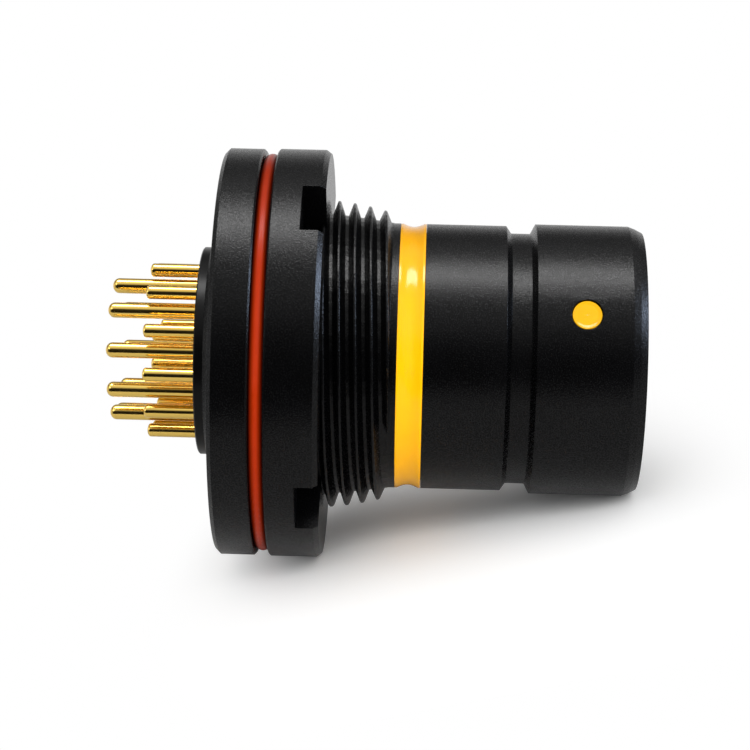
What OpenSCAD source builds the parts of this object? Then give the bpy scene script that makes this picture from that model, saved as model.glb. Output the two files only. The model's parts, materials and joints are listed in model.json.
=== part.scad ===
// Panel receptacle of a push-pull circular connector, with its ring nut and seal.
// The axis is +X. The mating end looks along +X and the pin tails along -X.
// x = 0 is the panel side of the flange. Clock angles start straight up, at +Z,
// and grow towards -Y. All lengths are millimetres.

/* [Flange] */
// Diameter of the mounting flange
flange_d = 26.4; // [25.8:0.1:34]
// Thickness of the mounting flange
flange_t = 2.5; // [1.6:0.1:5]
// Chamfer on the rear rim of the flange
flange_bevel = 0.27; // [0.1:0.01:0.6]
// Chamfer on the front rim of the flange
flange_edge = 0.12; // [0.05:0.01:0.2]
// Height of the conical collar behind the flange
collar_t = 0.8; // [0.4:0.1:2]
// Width of the collar's rear rim round the insert
collar_rim = 0.12; // [0.08:0.01:0.5]
// Height of the raised seat
seat_h = 0.45; // [0.2:0.05:0.6]

/* [Panel seal] */
// Section diameter of the O-ring between flange and nut
seal_section = 0.96; // [0.9:0.02:1.4]
// How far the O-ring lies inside the rim of the flange
seal_inset = 0.3; // [0.1:0.01:0.7]
// Space between the flange and the nut screwed home
seal_gap = 0.9; // [0.8:0.05:1]

/* [Thread] */
// Crest diameter of the panel thread
thread_d = 20; // [19.6:0.1:20.6]
// Distance from one crest to the next
thread_pitch = 1; // [0.8:0.05:1.2]
// Number of starts
thread_starts = 2; // [1:1:3]
// Place of a crest along the top of the thread
thread_at = -0.12; // [-1:0.02:1]
// Depth from crest to root
thread_depth = 0.84; // [0.5:0.02:0.9]
// Width of the flat on the crest
crest_flat = 0.1; // [0.06:0.01:0.2]
// Width and drop of the rounding beside the crest
crest_round = 0.05; // [0.02:0.01:0.08]
// Width of the flat in the root
root_flat = 0.22; // [0.08:0.01:0.26]
// Place of the first thread behind the raised seat
thread_start = 1.2; // [0.8:0.05:1.6]
// Place where the thread has run out
thread_end = 8.4; // [7.4:0.1:8.6]
// Place where the crests start to fall away
fade_start = 3.9; // [3:0.1:5]
// Drop of the crests at the end of the thread
fade_drop = 0.75; // [0.2:0.05:0.8]

/* [Ring nut] */
// Radial step from the rim of the flange to the rim of the nut
nut_step = 0.03; // [-1.2:0.01:3.8]
// Thickness of the ring nut
nut_t = 3.35; // [2.6:0.05:6]
// Chamfer of the nut's front rim, along the axis
nut_bevel = 0.32; // [0.1:0.01:0.6]
// Chamfer of the nut's front rim, across the axis
nut_bevel_drop = 0.24; // [0.1:0.01:0.5]
// Small chamfer of the nut's rear rim
nut_edge = 0.1; // [0.05:0.01:0.3]
// Number of spanner slots
slot_count = 4; // [2:1:8]
// Width of a spanner slot
slot_w = 3.9; // [1.5:0.1:5]
// Depth of a spanner slot from the nut's front face
slot_depth = 1.45; // [0.6:0.05:2.2]
// Clock angle of the first slot
nut_clock = 36; // [0:1:90]
// Radial clearance between nut and thread
thread_clearance = 0.08; // [0.05:0.01:0.12]

/* [Barrel] */
// Diameter of the barrel between thread and latch groove
barrel_d = 17.2; // [16.9:0.1:17.8]
// Place of the colour band
band_at = 8.85; // [8.7:0.05:11]
// Width of the colour band
band_w = 1.68; // [1:0.05:3]
// Radial thickness of the colour band
band_t = 0.55; // [0.35:0.05:0.6]
// Depth of the dished face of the colour band
band_dish = 0.2; // [0.05:0.01:0.25]
// Width of the flat lips beside the dish
band_lip = 0.14; // [0.05:0.01:0.3]
// Place of the latch groove
latch_at = 15.66; // [14:0.1:17]
// Width of the latch groove's floor
latch_floor_w = 1.23; // [0.8:0.05:2]
// Slope length of the groove's sides along the axis
latch_slope = 0.33; // [0.1:0.01:0.6]
// Depth of the latch groove under the barrel
latch_depth = 0.48; // [0.2:0.02:0.6]
// Diameter of the front sleeve
sleeve_d = 17.5; // [17:0.1:18]
// Place of the mating face
front_at = 24.4; // [22.5:0.1:30]
// Length of the nose chamfer
nose_len = 0.9; // [0.4:0.05:1.5]
// Drop of the nose chamfer
nose_drop = 0.39; // [0.2:0.01:0.7]
// Bulge of the nose chamfer
nose_bulge = 0.03; // [0:0.01:0.05]

/* [Index dot] */
// Place of the index dot
dot_at = 20.6; // [18.8:0.1:21.2]
// Diameter of the index dot
dot_d = 1.84; // [1:0.02:2.4]
// Clock angle of the index dot and of the main keyway
index_clock = 60; // [0:1:359]
// Depth of the dot's recess
dot_depth = 0.7; // [0.4:0.05:0.9]
// Height of the dot's crown over its own rim
dot_crown = 0.12; // [0.02:0.01:0.2]
// How far the crown stays under the sleeve, so that the plug slides over it
dot_sink = 0.02; // [0.01:0.01:0.06]
// Gap round the dot
dot_gap = 0.07; // [0.04:0.01:0.1]

/* [Bore] */
// Diameter of the bore that takes the plug
bore_d = 14.2; // [14:0.05:14.4]
// Lead-in chamfer at the mouth of the bore
bore_lead = 0.3; // [0.1:0.05:0.5]
// Width of the main keyway
key_w = 2.2; // [1.4:0.1:2.6]
// Width of the side keyways
side_key_w = 1.2; // [0.8:0.1:1.6]
// Depth of the keyways
key_depth = 0.5; // [0.2:0.05:0.55]
// Angle from the main keyway to the side keyways
side_key_step = 105; // [60:5:150]
// Place where the keyways end
key_end = 13; // [12.6:0.1:15]

/* [Contact insert] */
// Diameter of the insulator where it leaves the collar
boss_d = 13.5; // [13.2:0.05:13.7]
// Height of the insulator behind the collar
boss_out = 0.6; // [0.3:0.05:1.5]
// Thickness of the shell's rear lip
lip_t = 2; // [1.4:0.1:2.6]
// Place of the joint between the two insulators
split_at = 4; // [3.6:0.1:5]
// Place of the insulator's mating face
face_at = 12; // [11:0.1:12.2]
// Thickness of the insert retainer
retainer_t = 1.2; // [0.8:0.1:1.6]
// Width of the insert retainer's rim
retainer_w = 0.68; // [0.5:0.02:0.74]
// Width of the retainer's two driver slots
retainer_slot_w = 1.6; // [1:0.1:2.4]
// Section diameter of the seal round the insert
insert_seal_section = 0.84; // [0.6:0.02:0.9]
// Fit gap between pieces that stay together
fit_gap = 0.02; // [0.01:0.005:0.03]

/* [Contacts] */
// Circle diameter of the outer contacts
outer_ring_d = 10.72; // [10.6:0.02:11]
// Number of outer contacts
outer_count = 12; // [8:1:13]
// Clock angle of the first outer contact
outer_clock = 6.5; // [0:0.5:30]
// Circle diameter of the inner contacts
inner_ring_d = 8.6; // [7.6:0.02:8.66]
// Number of inner contacts
inner_count = 10; // [6:1:10]
// Clock angle of the first inner contact
inner_clock = 8.5; // [0:0.5:36]
// Circle diameter of the centre contacts
centre_ring_d = 1.9; // [1.8:0.05:3]
// Number of centre contacts
centre_count = 2; // [2:1:3]
// Clock angle of the first centre contact
centre_clock = -11; // [-90:1:90]
// Diameter of the short tails
short_tail_d = 0.87; // [0.7:0.01:0.9]
// Length of the short tails behind the insulator
short_tail = 3.35; // [2:0.05:6]
// Diameter of the long tails
long_tail_d = 0.98; // [0.7:0.01:1]
// Length of the long tails behind the insulator
long_tail = 5.78; // [4:0.02:9]
// Diameter of the contacts in the plug bore
pin_d = 0.9; // [0.7:0.05:0.95]
// Length of the contacts in front of the insulator
pin_reach = 7.6; // [5:0.1:9]
// Diameter of the waist that the rear insulator is moulded round
waist_d = 0.56; // [0.4:0.02:0.6]
// Length of the waist
waist_t = 1.2; // [0.8:0.1:2]

/* [Hidden] */
$fn = 96;
cut = 1;                                   // how far a cutting tool runs past the surface

flange_r = flange_d / 2;
seat_r = flange_r - seal_inset - seal_section - fit_gap;
thread_r = thread_d / 2;
root_r = thread_r - thread_depth;
barrel_r = barrel_d / 2;
sleeve_r = sleeve_d / 2;
bore_r = bore_d / 2;
boss_r = boss_d / 2;
nut_r = flange_r + nut_step;

rear_at = -flange_t - collar_t;            // rear rim of the collar
boss_at = rear_at - boss_out;              // rear face of the insulator
lip_at = rear_at + lip_t;                  // inner face of the shell's rear lip
nut_at = seal_gap;                         // rear face of the nut screwed home
latch_r = barrel_r - latch_depth;
latch_floor_at = latch_at + latch_slope;
latch_end = latch_floor_at + latch_floor_w + latch_slope;
relief_r = root_r - 0.06;                  // thread relief behind the raised seat
core_r = min(root_r, barrel_r) - 0.1;      // solid core that carries the thread
run_out_r = barrel_r + 0.02;               // root radius where the thread ends
lead = thread_pitch * thread_starts;

insert_r = bore_r - fit_gap;
island_r = bore_r - retainer_w - 2 * fit_gap;
seal_groove_w = insert_seal_section + 0.3;
seal_groove_at = (lip_at + split_at - seal_groove_w) / 2;
seal_groove_r = bore_r - insert_seal_section - 2 * fit_gap;
waist_from = (lip_at + split_at - waist_t) / 2;
waist_to = waist_from + waist_t;

outer_clocks = [for (i = [0:outer_count - 1]) outer_clock + i * 360 / outer_count];
inner_clocks = [for (i = [0:inner_count - 1]) inner_clock + i * 360 / inner_count];
centre_clocks = [for (i = [0:centre_count - 1]) centre_clock + i * 360 / centre_count];

// ---- helpers ----

// Revolves a profile of [x, radius] points about the X axis.
module turned(profile) {
    rotate([0, 90, 0])
        rotate_extrude()
            polygon([for (p = profile) [p[1], p[0]]]);
}

// A rod along +X that starts at x = at.
module rod(at, length, r) {
    translate([at, 0, 0])
        rotate([0, 90, 0])
            cylinder(h = length, r = r);
}

// Puts a child that stands above the axis at a clock angle.
module at_clock(angle) {
    rotate([angle, 0, 0])
        children();
}

// Puts a child that lies on the axis on a circle, at each clock angle.
module on_ring(ring_d, clocks) {
    for (angle = clocks)
        at_clock(angle)
            translate([0, 0, ring_d / 2])
                children();
}

// A rounded end as profile points, from the tip on the axis to radius r.
function nose(tip, length, r, towards) =
    [for (a = [0:15:90]) [tip + towards * length * (1 - cos(a)), r * sin(a)]];

// ---- thread ----

round_at = crest_flat / 2 + crest_round;
flank_w = (thread_pitch - root_flat) / 2 - round_at;
// One pitch of the thread: [distance from the crest's middle, on the crest or in the root, drop]
thread_form = [
    [-round_at, 1, crest_round],
    [-crest_flat / 2, 1, 0],
    [crest_flat / 2, 1, 0],
    [round_at, 1, crest_round],
    [round_at + flank_w, 0, 0],
    [round_at + flank_w + root_flat, 0, 0]];
form_n = len(thread_form);
thread_sides = 60;

// How far the crests and the roots have fallen at x.
function faded(x) = max(0, x - fade_start) / (thread_end - fade_start);
function crest_at(x, grow) = thread_r + grow - fade_drop * pow(faded(x), 1.8);
function root_at(x, grow) = root_r + grow - (root_r - run_out_r) * pow(faded(x), 1.2);

// A threaded rod from x = from to x = to, with its radius grown by grow.
module threaded_rod(from, to, grow) {
    first = floor((from - thread_at) / thread_pitch) - thread_starts - 1;
    last = ceil((to - thread_at) / thread_pitch) + 1;
    rows = (last - first) * form_n;

    function step(side) = lead * side / thread_sides;
    function row_x(side, row) = thread_at + (first + floor(row / form_n)) * thread_pitch
        + thread_form[row % form_n][0] + step(side);
    low = [for (s = [0:thread_sides - 1]) max([for (j = [0:rows - 1]) row_x(s, j) <= from ? j : 0])];
    high = [for (s = [0:thread_sides - 1]) min([for (j = [0:rows - 1]) row_x(s, j) >= to ? j : rows])];
    function held(side, row) = min(max(row, low[side]), high[side]);
    function corner(side, row) = side < thread_sides
        ? side * rows + held(side, row)
        : held(0, row + form_n * thread_starts);

    function radius(x, row) =
        let (form = thread_form[row % form_n])
        form[1] > 0 ? max(crest_at(x, grow) - form[2], root_at(x, grow)) : root_at(x, grow);
    function corner_point(side, row) =
        let (x = row_x(side, row),
             ends = x <= from || x >= to,
             kept = min(max(x, from), to),
             r = ends ? root_at(kept, grow) : radius(kept, row),
             angle = 360 * side / thread_sides)
        [kept, -r * sin(angle), r * cos(angle)];

    points = concat(
        [for (s = [0:thread_sides - 1]) for (j = [0:rows - 1]) corner_point(s, j)],
        [[from, 0, 0], [to, 0, 0]]);
    tail = thread_sides * rows;
    skin = [for (s = [0:thread_sides - 1]) for (j = [0:rows - 2])
        for (f = [[corner(s, j), corner(s, j + 1), corner(s + 1, j + 1)],
                  [corner(s, j), corner(s + 1, j + 1), corner(s + 1, j)]])
            if (f[0] != f[1] && f[1] != f[2] && f[2] != f[0]) f];
    caps = [for (s = [0:thread_sides - 1])
        for (f = [[tail, corner(s, 0), corner(s + 1, 0)],
                  [tail + 1, corner(s + 1, rows - 1), corner(s, rows - 1)]]) f];
    polyhedron(points = points, faces = concat(skin, caps));
}

// ---- shell ----

shell_outside = [
    [rear_at, boss_r + fit_gap + collar_rim],
    [-flange_t, boss_r + fit_gap + collar_rim + collar_t],
    [-flange_t, flange_r - flange_bevel],
    [-flange_t + flange_bevel, flange_r],
    [-flange_edge, flange_r],
    [0, flange_r - flange_edge],
    [0, seat_r],
    [seat_h, seat_r],
    [seat_h, relief_r],
    [thread_start + 0.2, relief_r],
    [thread_start + 0.2, core_r],
    [thread_end - 0.1, core_r],
    [thread_end - 0.1, barrel_r],
    [band_at, barrel_r],
    [band_at, barrel_r - band_t],
    [band_at + band_w, barrel_r - band_t],
    [band_at + band_w, barrel_r],
    [latch_at, barrel_r],
    [latch_floor_at, latch_r],
    [latch_floor_at + latch_floor_w, latch_r],
    [latch_end, sleeve_r],
    [front_at - nose_len, sleeve_r],
    [front_at - nose_len / 2, sleeve_r - nose_drop / 2 + nose_bulge],
    [front_at, sleeve_r - nose_drop]];
shell_inside = [
    [front_at, bore_r + bore_lead],
    [front_at - bore_lead, bore_r],
    [lip_at, bore_r],
    [lip_at, boss_r + fit_gap],
    [rear_at, boss_r + fit_gap]];

module keyway(angle, w) {
    at_clock(angle)
        translate([key_end, -w / 2, bore_r - cut])
            cube([front_at - key_end + cut, w, key_depth + cut]);
}

module shell() {
    color([0.06, 0.06, 0.07])
        difference() {
            union() {
                turned(concat(shell_outside, shell_inside));
                difference() {
                    threaded_rod(thread_start, thread_end, 0);
                    rod(thread_start - cut, thread_end - thread_start + 2 * cut, bore_r + 0.5);
                }
            }
            keyway(index_clock, key_w);
            for (side = [-1, 0, 1])
                keyway(index_clock + 180 + side * (180 - side_key_step), side_key_w);
            at_clock(index_clock)
                translate([dot_at, 0, sleeve_r - dot_depth])
                    cylinder(h = dot_depth + cut, d = dot_d + 2 * dot_gap);
        }
}

// ---- pieces on the outside ----

module ring_nut() {
    front = nut_at + nut_t;
    inner = root_r - cut;
    color([0.07, 0.07, 0.08])
        difference() {
            turned([
                [nut_at, inner],
                [nut_at, nut_r - nut_edge],
                [nut_at + nut_edge, nut_r],
                [front - nut_bevel, nut_r],
                [front, nut_r - nut_bevel_drop],
                [front, inner]]);
            threaded_rod(nut_at - 0.3, front + 0.3, thread_clearance);
            for (i = [0:slot_count - 1])
                at_clock(nut_clock + i * 360 / slot_count)
                    translate([front - slot_depth, -slot_w / 2, thread_r / 2])
                        cube([slot_depth + cut, slot_w, nut_r]);
        }
}

// The O-ring is flattened between the flange and the nut.
module panel_seal() {
    ring_r = seat_r + seal_section / 2 + fit_gap;
    color([0.8, 0.2, 0.1])
        intersection() {
            rotate([0, 90, 0])
                translate([0, 0, seal_gap / 2])
                    rotate_extrude()
                        translate([ring_r, 0])
                            circle(d = seal_section);
            rod(fit_gap, seal_gap - 2 * fit_gap, ring_r + seal_section);
        }
}

module colour_band() {
    floor_r = barrel_r - band_t + fit_gap;
    dish_w = band_w - 2 * fit_gap - 2 * band_lip;
    dish = [for (i = [0:12])
        [band_at + band_w / 2 + dish_w * (i / 12 - 0.5), barrel_r - band_dish * sin(i * 15)]];
    color([1, 0.78, 0.05])
        turned(concat(
            [[band_at + fit_gap, floor_r], [band_at + fit_gap, barrel_r]],
            dish,
            [[band_at + band_w - fit_gap, barrel_r], [band_at + band_w - fit_gap, floor_r]]));
}

// A plug with a spherical crown.
module index_dot() {
    crown_r = (dot_d * dot_d / 4 + dot_crown * dot_crown) / (2 * dot_crown);
    top = sleeve_r - dot_sink;
    color([1, 0.78, 0.05])
        at_clock(index_clock)
            translate([dot_at, 0, 0])
                intersection() {
                    translate([0, 0, sleeve_r - dot_depth + fit_gap])
                        cylinder(h = dot_depth, d = dot_d);
                    translate([0, 0, top - crown_r])
                        sphere(r = crown_r);
                }
}

// ---- contact insert ----

// The hole for one contact: wide for the tail, narrow at the waist, then wide to the mating face.
module contact_holes(ring_d, clocks, tail_d) {
    on_ring(ring_d, clocks) {
        rod(boss_at - cut, waist_from + fit_gap - boss_at + cut, tail_d / 2 + fit_gap);
        rod(waist_from, waist_t, waist_d / 2 + fit_gap);
        rod(waist_to - fit_gap, face_at - waist_to + fit_gap + cut, pin_d / 2 + fit_gap);
    }
}

module all_contact_holes() {
    contact_holes(outer_ring_d, outer_clocks, short_tail_d);
    contact_holes(inner_ring_d, inner_clocks, long_tail_d);
    contact_holes(centre_ring_d, centre_clocks, short_tail_d);
}

module rear_insulator() {
    edge = 0.08;
    color([0.1, 0.1, 0.1])
        difference() {
            turned([
                [boss_at, 0],
                [boss_at, boss_r - edge],
                [boss_at + edge, boss_r],
                [lip_at + fit_gap, boss_r],
                [lip_at + fit_gap, insert_r],
                [seal_groove_at, insert_r],
                [seal_groove_at, seal_groove_r],
                [seal_groove_at + seal_groove_w, seal_groove_r],
                [seal_groove_at + seal_groove_w, insert_r],
                [split_at - fit_gap / 2, insert_r],
                [split_at - fit_gap / 2, 0]]);
            all_contact_holes();
        }
}

module front_insulator() {
    ledge = face_at - retainer_t;
    color([0.12, 0.12, 0.12])
        difference() {
            turned([
                [split_at + fit_gap / 2, 0],
                [split_at + fit_gap / 2, insert_r],
                [ledge - fit_gap, insert_r],
                [ledge - fit_gap, island_r],
                [face_at, island_r],
                [face_at, 0]]);
            all_contact_holes();
        }
}

module insert_seal() {
    color([0.5, 0.15, 0.1])
        rotate([0, 90, 0])
            translate([0, 0, seal_groove_at + seal_groove_w / 2])
                rotate_extrude()
                    translate([bore_r - insert_seal_section / 2 - fit_gap, 0])
                        circle(d = insert_seal_section);
}

module insert_retainer() {
    color([0.09, 0.09, 0.1])
        difference() {
            turned([
                [face_at - retainer_t, bore_r - retainer_w],
                [face_at - retainer_t, insert_r],
                [face_at, insert_r],
                [face_at, bore_r - retainer_w]]);
            for (side = [0, 180])
                at_clock(index_clock + 90 + side)
                    translate([face_at - retainer_t / 2, -retainer_slot_w / 2, bore_r - retainer_w - cut])
                        cube([retainer_t, retainer_slot_w, retainer_w + 2 * cut]);
        }
}

// ---- contacts ----

module contact(tail_length, tail_d, tail_nose) {
    tip = face_at + pin_reach;
    mating_end = nose(tip, pin_d / 2, pin_d / 2, -1);
    color([0.9, 0.7, 0.25])
        turned(concat(
            nose(boss_at - tail_length, tail_nose, tail_d / 2, 1),
            [[waist_from, tail_d / 2], [waist_from, waist_d / 2],
             [waist_to, waist_d / 2], [waist_to, pin_d / 2]],
            [for (i = [len(mating_end) - 1:-1:0]) mating_end[i]]));
}

module outer_pin(i) {
    on_ring(outer_ring_d, [outer_clocks[i - 1]])
        contact(short_tail, short_tail_d, 0.24);
}

module inner_pin(i) {
    on_ring(inner_ring_d, [inner_clocks[i - 1]])
        contact(long_tail, long_tail_d, 0.42);
}

module centre_pin(i) {
    on_ring(centre_ring_d, [centre_clocks[i - 1]])
        contact(short_tail, short_tail_d, 0.24);
}

// ---- nodes ----

shell();
ring_nut();
panel_seal();
colour_band();
index_dot();
rear_insulator();
front_insulator();
insert_seal();
insert_retainer();
for (i = [1:outer_count])
    outer_pin(i);
for (i = [1:inner_count])
    inner_pin(i);
for (i = [1:centre_count])
    centre_pin(i);
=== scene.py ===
import bpy
import json
import math
from mathutils import Matrix, Vector

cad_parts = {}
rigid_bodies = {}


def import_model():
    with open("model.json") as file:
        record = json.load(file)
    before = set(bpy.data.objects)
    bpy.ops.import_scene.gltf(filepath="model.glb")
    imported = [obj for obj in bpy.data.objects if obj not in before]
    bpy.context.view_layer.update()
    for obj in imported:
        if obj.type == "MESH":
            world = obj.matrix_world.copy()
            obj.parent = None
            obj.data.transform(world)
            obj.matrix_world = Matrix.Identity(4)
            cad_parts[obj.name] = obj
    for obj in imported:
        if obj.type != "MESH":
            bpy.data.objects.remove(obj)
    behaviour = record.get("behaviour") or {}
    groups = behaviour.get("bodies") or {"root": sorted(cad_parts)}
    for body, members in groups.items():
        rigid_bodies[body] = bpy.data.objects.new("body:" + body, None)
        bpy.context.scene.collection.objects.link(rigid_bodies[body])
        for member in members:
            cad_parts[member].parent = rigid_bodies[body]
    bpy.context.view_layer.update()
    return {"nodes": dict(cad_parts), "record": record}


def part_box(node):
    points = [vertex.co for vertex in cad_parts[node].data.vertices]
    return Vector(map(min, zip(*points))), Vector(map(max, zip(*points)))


for startObject in list(bpy.data.objects):
    bpy.data.objects.remove(startObject)  # the start file's own things

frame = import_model()
nodes = frame["nodes"]
scene = bpy.context.scene
scene.view_settings.view_transform = "Standard"
mm = 0.001
print("frame loaded:", len(nodes), "nodes")


def linear(hexColour):
    parts = [int(hexColour[i:i + 2], 16) / 255 for i in (1, 3, 5)]
    return [p / 12.92 if p <= 0.04045 else ((p + 0.055) / 1.055) ** 2.4 for p in parts] + [1.0]


def addNode(tree, kind, settings=None, links=None):
    node = tree.nodes.new(kind)
    for key, value in (settings or {}).items():
        if isinstance(key, str) and hasattr(node, key):
            setattr(node, key, value)
        else:
            node.inputs[key].default_value = value
    for key, source in (links or {}).items():
        tree.links.new(source, node.inputs[key])
    return node


def newMaterial(name):
    material = bpy.data.materials.new(name)
    material.use_nodes = True
    material.node_tree.nodes.clear()
    return material, material.node_tree


camera = {
    "distance": 161.0 * mm,
    "foot": 10.85 * mm,       # where the camera stands along the axis
    "aim": 7.39 * mm,         # where the middle of the view meets the axis
    "drop": 1.31 * mm,        # the axis passes this far above the middle
    "elevation": math.radians(11),
    "roll": math.radians(1.25),
    "halfWidth": 0.1518,      # half of what the view takes in, at a distance of 1
    "nearest": 0.005,
    "farthest": 10,
}


def placeCamera():
    elevation, roll = camera["elevation"], camera["roll"]
    place = Vector((camera["foot"], -camera["distance"] * math.cos(elevation),
                    camera["distance"] * math.sin(elevation)))
    target = (Vector((camera["aim"], 0, 0))
              - camera["drop"] * Vector((0, math.sin(elevation), math.cos(elevation))))
    forward = (target - place).normalized()
    side = forward.cross(Vector((0, 0, 1))).normalized()
    up = side.cross(forward)
    tilted = side * math.cos(roll) + up * math.sin(roll)
    up = tilted.cross(forward)
    data = bpy.data.cameras.new("camera")
    data.angle = 2 * math.atan(camera["halfWidth"])
    data.clip_start = camera["nearest"]
    data.clip_end = camera["farthest"]
    obj = bpy.data.objects.new("camera", data)
    scene.collection.objects.link(obj)
    obj.matrix_world = Matrix.Translation(place) @ Matrix((
        (tilted.x, up.x, -forward.x),
        (tilted.y, up.y, -forward.y),
        (tilted.z, up.z, -forward.z))).to_4x4()
    scene.camera = obj


placeCamera()
print("camera placed")

# the part lies on the nut's rim and on its nose
floorSpec = {
    "rearInset": 0.32 * mm,   # the nut's rim touches this far behind its front face
    "frontInset": 0.9 * mm,   # the nose touches this far behind its end
    "noseRadius": 8.75 * mm,
    "gap": 0.02 * mm,
    "halfX": 0.120,
    "near": 0.036,
    "far": 0.090,
    "paper": "#f6f6f6",
    "extra": "#8a8a8a",       # only the view sees this much more light on the paper
    "mirrored": "#f2f2f2",    # polished faces see the paper this bright
    "fadeFrom": 0.020,
    "fadeTo": 0.046,
    "fadeShape": (2.2, 1, 1),
}


def makeFloor():
    nutLow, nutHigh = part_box("ring_nut")
    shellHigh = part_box("shell")[1]
    rear = Vector((nutHigh.x - floorSpec["rearInset"], 0, nutLow.z))
    front = Vector((shellHigh.x - floorSpec["frontInset"], 0, -floorSpec["noseRadius"]))
    across = Vector((0, 1, 0))
    along = (front - rear).normalized()
    normal = along.cross(across)
    if normal.z < 0:
        normal = -normal
    middle = (rear + front) / 2 - normal * floorSpec["gap"]
    halfX, near, far = floorSpec["halfX"], floorSpec["near"], floorSpec["far"]
    corners = [middle + along * x + across * y
               for x, y in ((-halfX, -near), (halfX, -near), (halfX, far), (-halfX, far))]
    mesh = bpy.data.meshes.new("studioFloor")
    mesh.from_pydata([list(c) for c in corners], [], [(0, 1, 2, 3)])
    obj = bpy.data.objects.new("studioFloor", mesh)
    scene.collection.objects.link(obj)
    material, tree = newMaterial("white paper sweep")
    # matt white paper; the view sees its lit part as pure white and keeps the soft shadow round the part
    path = addNode(tree, "ShaderNodeLightPath")
    geometry = addNode(tree, "ShaderNodeNewGeometry")
    where = addNode(tree, "ShaderNodeTexCoord")
    paper = addNode(tree, "ShaderNodeBsdfDiffuse", {"Color": linear(floorSpec["paper"])})
    extra = addNode(tree, "ShaderNodeBsdfDiffuse", {"Color": linear(floorSpec["extra"])})
    both = addNode(tree, "ShaderNodeAddShader", links={0: paper.outputs[0], 1: extra.outputs[0]})
    white = addNode(tree, "ShaderNodeEmission", {"Color": linear("#ffffff"), "Strength": 1.0})
    apart = addNode(tree, "ShaderNodeVectorMath", {"operation": "SUBTRACT", 1: tuple(middle)},
                    links={0: where.outputs["Object"]})
    squeezed = addNode(tree, "ShaderNodeVectorMath", {"operation": "MULTIPLY", 1: floorSpec["fadeShape"]},
                       links={0: apart.outputs[0]})
    away = addNode(tree, "ShaderNodeVectorMath", {"operation": "LENGTH"}, links={0: squeezed.outputs[0]})
    fade = addNode(tree, "ShaderNodeMapRange", {
        "interpolation_type": "SMOOTHSTEP",
        "From Min": floorSpec["fadeFrom"], "From Max": floorSpec["fadeTo"]},
        links={"Value": away.outputs["Value"]})
    swept = addNode(tree, "ShaderNodeMixShader",
                    links={0: fade.outputs["Result"], 1: both.outputs[0], 2: white.outputs[0]})
    mirrored = addNode(tree, "ShaderNodeBsdfDiffuse", {"Color": linear(floorSpec["mirrored"])})
    unseen = addNode(tree, "ShaderNodeMixShader",
                     links={0: path.outputs["Is Glossy Ray"], 1: paper.outputs[0], 2: mirrored.outputs[0]})
    seen = addNode(tree, "ShaderNodeMixShader",
                   links={0: path.outputs["Is Camera Ray"], 1: unseen.outputs[0], 2: swept.outputs[0]})
    clear = addNode(tree, "ShaderNodeBsdfTransparent")
    under = addNode(tree, "ShaderNodeMixShader",
                    links={0: geometry.outputs["Backfacing"], 1: seen.outputs[0], 2: clear.outputs[0]})
    out = addNode(tree, "ShaderNodeOutputMaterial")
    tree.links.new(under.outputs[0], out.inputs["Surface"])
    mesh.materials.append(material)


makeFloor()
print("floor laid")

# "shine" lamps show only in reflections, and "matt" lamps light only matt surfaces
lampSpec = {
    # a strip overhead shows in the polished faces
    "overhead": {"place": (0.008, -0.026, 0.30), "size": (0.30, 0.080), "power": 1.25, "lights": "shine"},
    # the key in front throws the soft shadow back
    "key": {"place": (0.080, -0.29, 0.158), "size": (0.44, 0.24), "power": 0.90, "lights": "matt"},
    # a low strip in front lifts the undersides of the matt pieces
    "bounce": {"place": (0.010, -0.24, -0.010), "size": (0.30, 0.03), "power": 0.20, "lights": "matt"},
    # a cool window off the nose end glints in the front chamfers
    "nose": {"place": (0.33, -0.03, 0.165), "size": (0.10, 0.10), "power": 1.25, "lights": "shine",
             "tint": "#cce0ff"},
    "tails": {"place": (-0.34, -0.10, 0.10), "size": (0.12, 0.16), "power": 0.16, "lights": "shine"},
}
lampTarget = Vector((0.008, 0, 0))


def addLamp(name, spec):
    data = bpy.data.lights.new(name, "AREA")
    data.shape = "RECTANGLE"
    data.size, data.size_y = spec["size"]
    data.energy = spec["power"]
    data.color = linear(spec.get("tint", "#ffffff"))[:3]
    obj = bpy.data.objects.new(name, data)
    scene.collection.objects.link(obj)
    place = Vector(spec["place"])
    obj.location = place
    obj.rotation_euler = (lampTarget - place).to_track_quat("-Z", "Y").to_euler()
    obj.visible_diffuse = spec["lights"] != "shine"
    obj.visible_glossy = spec["lights"] != "matt"


for lampName, spec in lampSpec.items():
    addLamp(lampName, spec)

roomTilt = math.radians(11)
fillTilt = math.radians(38)
roomSpec = {
    "fill": (0.0, 1.12),         # light on matt surfaces, from low behind and from high in front
    "fillRange": (-0.4, 1.0),
    "fillFrom": (0, -math.cos(fillTilt), math.sin(fillTilt)),
    "front": (0, -math.cos(roomTilt), math.sin(roomTilt)),
    "top": (0, math.sin(roomTilt), math.cos(roomTilt)),
    # what a polished surface sees round the long axis: degrees above the front, then brightness
    "round": ((-180, 1.0), (-120, 0.7), (-60, 0.25), (-35, 0.01), (-5, 0.006), (12, 0.03), (25, 0.75),
              (60, 1.3), (110, 0.8), (122, 0.18), (140, 0.2), (155, 0.9), (180, 1.0)),
}


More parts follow.
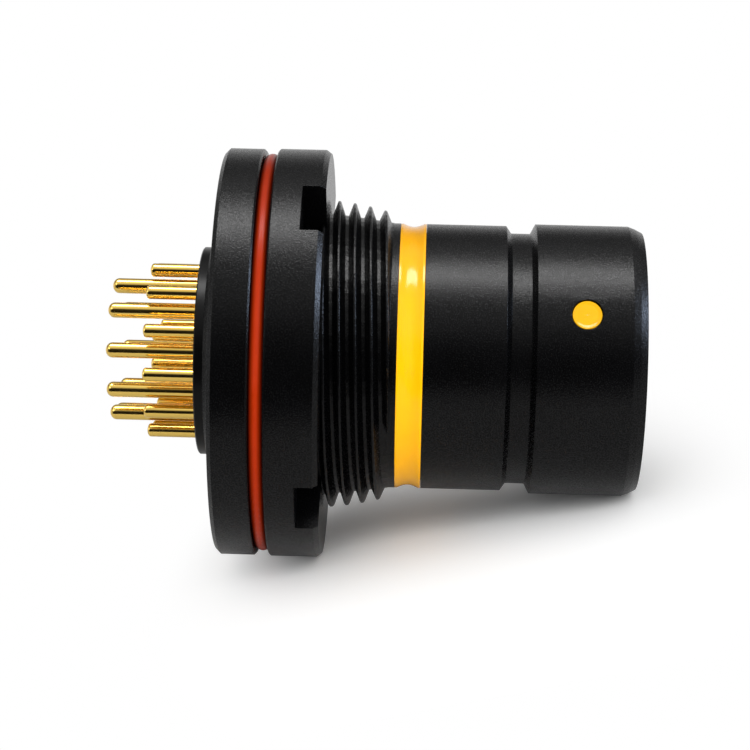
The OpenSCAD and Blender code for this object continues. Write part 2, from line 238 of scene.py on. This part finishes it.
def makeWorld():
    world = bpy.data.worlds.new("studio")
    scene.world = world
    world.use_nodes = True
    tree = world.node_tree
    tree.nodes.clear()
    where = addNode(tree, "ShaderNodeTexCoord")
    front = addNode(tree, "ShaderNodeVectorMath", {"operation": "DOT_PRODUCT", 1: roomSpec["front"]},
                    links={0: where.outputs["Generated"]})
    top = addNode(tree, "ShaderNodeVectorMath", {"operation": "DOT_PRODUCT", 1: roomSpec["top"]},
                  links={0: where.outputs["Generated"]})
    turn = addNode(tree, "ShaderNodeMath", {"operation": "ARCTAN2"},
                   links={0: top.outputs["Value"], 1: front.outputs["Value"]})
    share = addNode(tree, "ShaderNodeMapRange", {"From Min": -math.pi, "From Max": math.pi},
                    links={"Value": turn.outputs[0]})
    ramp = addNode(tree, "ShaderNodeValToRGB", links={0: share.outputs["Result"]})
    stops = [((degrees + 180) / 360, value) for degrees, value in roomSpec["round"]]
    while len(ramp.color_ramp.elements) < len(stops):
        ramp.color_ramp.elements.new(0.5)
    for element, (at, value) in zip(ramp.color_ramp.elements, stops):
        element.position = at
        element.color = (value, value, value, 1)
    room = addNode(tree, "ShaderNodeBackground", links={"Color": ramp.outputs["Color"]})
    high = addNode(tree, "ShaderNodeVectorMath", {"operation": "DOT_PRODUCT", 1: roomSpec["fillFrom"]},
                   links={0: where.outputs["Generated"]})
    soft = addNode(tree, "ShaderNodeMapRange", {
        "From Min": roomSpec["fillRange"][0], "From Max": roomSpec["fillRange"][1],
        "To Min": roomSpec["fill"][0], "To Max": roomSpec["fill"][1]},
        links={"Value": high.outputs["Value"]})
    fill = addNode(tree, "ShaderNodeBackground", {"Color": linear("#ffffff")},
                   links={"Strength": soft.outputs["Result"]})
    white = addNode(tree, "ShaderNodeBackground", {"Color": linear("#ffffff"), "Strength": 1.0})
    path = addNode(tree, "ShaderNodeLightPath")
    lit = addNode(tree, "ShaderNodeMixShader",
                  links={0: path.outputs["Is Glossy Ray"], 1: fill.outputs[0], 2: room.outputs[0]})
    mixed = addNode(tree, "ShaderNodeMixShader",
                    links={0: path.outputs["Is Camera Ray"], 1: lit.outputs[0], 2: white.outputs[0]})
    out = addNode(tree, "ShaderNodeOutputWorld")
    tree.links.new(mixed.outputs[0], out.inputs["Surface"])


makeWorld()
print("lamps and room set")

bevelSamples = 6


def finishParts(name, settings):
    material, tree = newMaterial(name)
    where = addNode(tree, "ShaderNodeTexCoord")
    surface = addNode(tree, "ShaderNodeBsdfPrincipled", settings)
    out = addNode(tree, "ShaderNodeOutputMaterial")
    tree.links.new(surface.outputs[0], out.inputs["Surface"])
    return material, tree, where, surface


# turned and bead-blasted aluminium, dyed black: a satin skin with fine bright grain and softened edges
anodised = {
    "dye": "#030303",
    "dyeRange": ("#020202", "#050506"),
    "blotch": 3.0 * mm,
    "grain": 0.075 * mm,          # as coarse as it must be to show
    "grainHeight": 0.016 * mm,
    "roughness": 0.26,
    "roughnessRange": (0.20, 0.32),
    "shine": 0.13,
    "shineRange": (0.08, 0.22),   # the grain's bright and dull spots
    "shineFrom": (0.3, 0.7),
    "edge": 0.05 * mm,
}


def anodisedAluminium(name):
    material, tree, where, surface = finishParts(name, {
        "Base Color": linear(anodised["dye"]), "Roughness": anodised["roughness"],
        "Specular IOR Level": anodised["shine"]})
    place = addNode(tree, "ShaderNodeMapping", links={0: where.outputs["Object"]})
    grain = addNode(tree, "ShaderNodeTexNoise", {
        "Scale": 1 / anodised["grain"], "Detail": 1.0, "Roughness": 0.5},
        links={"Vector": place.outputs[0]})
    blotch = addNode(tree, "ShaderNodeTexNoise", {"Scale": 1 / anodised["blotch"], "Detail": 2.0},
                     links={"Vector": place.outputs[0]})
    smooth, rougher = anodised["roughnessRange"]
    rough = addNode(tree, "ShaderNodeMapRange", {"To Min": smooth, "To Max": rougher},
                    links={"Value": grain.outputs["Fac"]})
    tree.links.new(rough.outputs["Result"], surface.inputs["Roughness"])
    sheen = addNode(tree, "ShaderNodeMapRange", {
        "From Min": anodised["shineFrom"][0], "From Max": anodised["shineFrom"][1],
        "To Min": anodised["shineRange"][0], "To Max": anodised["shineRange"][1]},
        links={"Value": grain.outputs["Fac"]})
    tree.links.new(sheen.outputs["Result"], surface.inputs["Specular IOR Level"])
    tint = addNode(tree, "ShaderNodeValToRGB", links={0: blotch.outputs["Fac"]})
    tint.color_ramp.elements[0].color = linear(anodised["dyeRange"][0])
    tint.color_ramp.elements[1].color = linear(anodised["dyeRange"][1])
    tree.links.new(tint.outputs["Color"], surface.inputs["Base Color"])
    softened = addNode(tree, "ShaderNodeBevel", {"samples": bevelSamples, "Radius": anodised["edge"]})
    bump = addNode(tree, "ShaderNodeBump", {"Strength": 1.0, "Distance": anodised["grainHeight"]},
                   links={"Height": grain.outputs["Fac"], "Normal": softened.outputs["Normal"]})
    tree.links.new(bump.outputs["Normal"], surface.inputs["Normal"])
    return material


# turned brass pins, electroplated with hard gold: bright with faint turning lines
gold = {
    "colour": "#e4c064",
    "roughness": 0.12,
    "roughnessRange": (0.11, 0.16),
    "lineWidth": 0.06 * mm,       # along the pin
    "lineLength": 0.8 * mm,       # round the pin
}


def goldPlate():
    material, tree, where, surface = finishParts("hard gold plate on turned brass", {
        "Base Color": linear(gold["colour"]), "Metallic": 1.0, "Roughness": gold["roughness"]})
    finest, longest = 1 / gold["lineWidth"], 1 / gold["lineLength"]
    lines = addNode(tree, "ShaderNodeMapping", {"Scale": (finest, longest, longest)},
                    links={0: where.outputs["Object"]})
    turned = addNode(tree, "ShaderNodeTexNoise", {"Scale": 1.0, "Detail": 2.0},
                     links={"Vector": lines.outputs[0]})
    smooth, rougher = gold["roughnessRange"]
    rough = addNode(tree, "ShaderNodeMapRange", {"To Min": smooth, "To Max": rougher},
                    links={"Value": turned.outputs["Fac"]})
    tree.links.new(rough.outputs["Result"], surface.inputs["Roughness"])
    return material


# moulded silicone: a soft sheen and faint flow marks, with painted shade that darkens its colour towards
# the groove walls beside it
silicone = {
    "roughness": 0.3,
    "index": 1.41,
    "shine": 0.11,
    "flow": 0.5 * mm,
    "flowHeight": 0.01 * mm,
    "paintedGrooveShade": (0.10, 0.52),       # shares of the ring's width where the painted groove shade begins and ends
    # painted shade: the colour's brightness at the ring's middle and at its sides
    "paintedGrooveShadeLevel": (1.0, 0.12),
}


def siliconeRubber(name, node, colour, light):
    material, tree, where, surface = finishParts(name, {
        "Base Color": linear(colour), "Roughness": silicone["roughness"], "IOR": silicone["index"],
        "Specular IOR Level": silicone["shine"]})
    cloud = addNode(tree, "ShaderNodeTexNoise", {"Scale": 1 / silicone["flow"], "Detail": 3.0},
                    links={"Vector": where.outputs["Object"]})
    tint = addNode(tree, "ShaderNodeValToRGB", links={0: cloud.outputs["Fac"]})
    tint.color_ramp.elements[0].color = linear(colour)
    tint.color_ramp.elements[1].color = linear(light)
    low, high = (c.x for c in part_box(node))
    # painted shade: the base colour is darkened towards both sides of the ring, where the groove walls
    # shade it
    axes = addNode(tree, "ShaderNodeSeparateXYZ", links={0: where.outputs["Object"]})
    across = addNode(tree, "ShaderNodeMath", {"operation": "SUBTRACT", 1: (low + high) / 2},
                     links={0: axes.outputs["X"]})
    aside = addNode(tree, "ShaderNodeMath", {"operation": "ABSOLUTE"}, links={0: across.outputs[0]})
    begin, end = silicone["paintedGrooveShade"]
    shade = addNode(tree, "ShaderNodeMapRange", {
        "From Min": begin * (high - low), "From Max": end * (high - low),
        "To Min": silicone["paintedGrooveShadeLevel"][0], "To Max": silicone["paintedGrooveShadeLevel"][1]},
        links={"Value": aside.outputs[0]})
    # the painted groove shade scales the colour here
    paintedGrooveShade = addNode(tree, "ShaderNodeVectorMath", {"operation": "SCALE"},
                     links={0: tint.outputs["Color"], "Scale": shade.outputs["Result"]})
    tree.links.new(paintedGrooveShade.outputs[0], surface.inputs["Base Color"])
    bump = addNode(tree, "ShaderNodeBump", {"Strength": 0.2, "Distance": silicone["flowHeight"]},
                   links={"Height": cloud.outputs["Fac"]})
    tree.links.new(bump.outputs["Normal"], surface.inputs["Normal"])
    return material


# moulded ABS: saturated and shiny, with very slight sink and softened edges
plastic = {
    "roughness": 0.14,
    "index": 1.5,
    "shine": 0.24,
    "sink": 1.6 * mm,
    "sinkDepth": 0.02 * mm,
}


def glossyPlastic(name, colour, light, edge):
    material, tree, where, surface = finishParts(name, {
        "Base Color": linear(colour), "Roughness": plastic["roughness"], "IOR": plastic["index"],
        "Specular IOR Level": plastic["shine"]})
    wave = addNode(tree, "ShaderNodeTexNoise", {"Scale": 1 / plastic["sink"], "Detail": 1.0},
                   links={"Vector": where.outputs["Object"]})
    tint = addNode(tree, "ShaderNodeValToRGB", links={0: wave.outputs["Fac"]})
    tint.color_ramp.elements[0].color = linear(colour)
    tint.color_ramp.elements[1].color = linear(light)
    tree.links.new(tint.outputs["Color"], surface.inputs["Base Color"])
    softened = addNode(tree, "ShaderNodeBevel", {"samples": bevelSamples, "Radius": edge * mm})
    bump = addNode(tree, "ShaderNodeBump", {"Strength": 0.1, "Distance": plastic["sinkDepth"]},
                   links={"Height": wave.outputs["Fac"], "Normal": softened.outputs["Normal"]})
    tree.links.new(bump.outputs["Normal"], surface.inputs["Normal"])
    return material


# the index dot in the same ABS; its solid is a plain dome, and the dish and lip are only in the shading
indexDot = {
    "colour": "#d29a00",
    "light": "#dca400",
    "edge": 0.06,
    "lipFrom": 0.68,              # share of the radius
    "lipTo": 1.0,
    "dishDepth": 0.12 * mm,
}


def dishedPlastic(node):
    material = glossyPlastic("yellow moulded ABS, index dot", indexDot["colour"], indexDot["light"],
                             indexDot["edge"])
    tree = material.node_tree
    low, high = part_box(node)
    middle = (low + high) / 2
    outward = Vector((0, middle.y, middle.z)).normalized()
    radius = (high.x - low.x) / 2
    where = addNode(tree, "ShaderNodeTexCoord")
    apart = addNode(tree, "ShaderNodeVectorMath", {"operation": "SUBTRACT", 1: tuple(middle)},
                    links={0: where.outputs["Object"]})
    along = addNode(tree, "ShaderNodeVectorMath", {"operation": "PROJECT", 1: tuple(outward)},
                    links={0: apart.outputs[0]})
    flat = addNode(tree, "ShaderNodeVectorMath", {"operation": "SUBTRACT"},
                   links={0: apart.outputs[0], 1: along.outputs[0]})
    away = addNode(tree, "ShaderNodeVectorMath", {"operation": "LENGTH"}, links={0: flat.outputs[0]})
    lip = addNode(tree, "ShaderNodeMapRange", {
        "interpolation_type": "SMOOTHSTEP",
        "From Min": indexDot["lipFrom"] * radius, "From Max": indexDot["lipTo"] * radius},
        links={"Value": away.outputs["Value"]})
    dish = addNode(tree, "ShaderNodeBump", {"Strength": 1.0, "Distance": indexDot["dishDepth"]},
                   links={"Height": lip.outputs["Result"]})
    bump = next(n for n in tree.nodes if n.bl_idname == "ShaderNodeBump" and n != dish)
    softened = bump.inputs["Normal"].links[0].from_socket
    tree.links.new(softened, dish.inputs["Normal"])
    tree.links.new(dish.outputs["Normal"], bump.inputs["Normal"])
    return material


# glass-filled PBT, moulded: matt black with a fine spark-eroded texture
insulator = {
    "colour": "#060606",
    "roughness": 0.30,
    "roughnessRange": (0.24, 0.36),
    "index": 1.5,
    "shine": 0.12,
    "spark": 0.09 * mm,           # as coarse as it must be to show
    "sparkHeight": 0.008 * mm,
}


def glassFilledPlastic():
    material, tree, where, surface = finishParts("black glass-filled PBT", {
        "Base Color": linear(insulator["colour"]), "Roughness": insulator["roughness"],
        "IOR": insulator["index"], "Specular IOR Level": insulator["shine"]})
    spark = addNode(tree, "ShaderNodeTexNoise", {"Scale": 1 / insulator["spark"], "Detail": 2.0},
                    links={"Vector": where.outputs["Object"]})
    smooth, rougher = insulator["roughnessRange"]
    rough = addNode(tree, "ShaderNodeMapRange", {"To Min": smooth, "To Max": rougher},
                    links={"Value": spark.outputs["Fac"]})
    tree.links.new(rough.outputs["Result"], surface.inputs["Roughness"])
    bump = addNode(tree, "ShaderNodeBump", {"Strength": 0.3, "Distance": insulator["sparkHeight"]},
                   links={"Height": spark.outputs["Fac"]})
    tree.links.new(bump.outputs["Normal"], surface.inputs["Normal"])
    return material


slotFinish = {
    "shell_black": anodisedAluminium("black anodised aluminium, shell"),
    "nut_black": anodisedAluminium("black anodised aluminium, nut"),
    "retainer_black": anodisedAluminium("black anodised aluminium, retainer"),
    "panel_seal_rubber": siliconeRubber("orange silicone", "panel_seal", "#982402", "#a22a04"),
    "insert_seal_rubber": siliconeRubber("red silicone", "insert_seal", "#7c2015", "#8c2a1c"),
    "coding_plastic": glossyPlastic("yellow moulded ABS", "#f0a800", "#f4ae00", 0.03),
    "insulator_plastic": glassFilledPlastic(),
    "contact_gold": goldPlate(),
}
dotFinish = dishedPlastic("index_dot")
for part in frame["record"]["subparts"]:
    mesh = nodes[part["node"]].data
    mesh.materials.clear()
    mesh.materials.append(dotFinish if part["node"] == "index_dot" else slotFinish[part["material_slot"]])
print("finishes on", len(slotFinish), "slots")
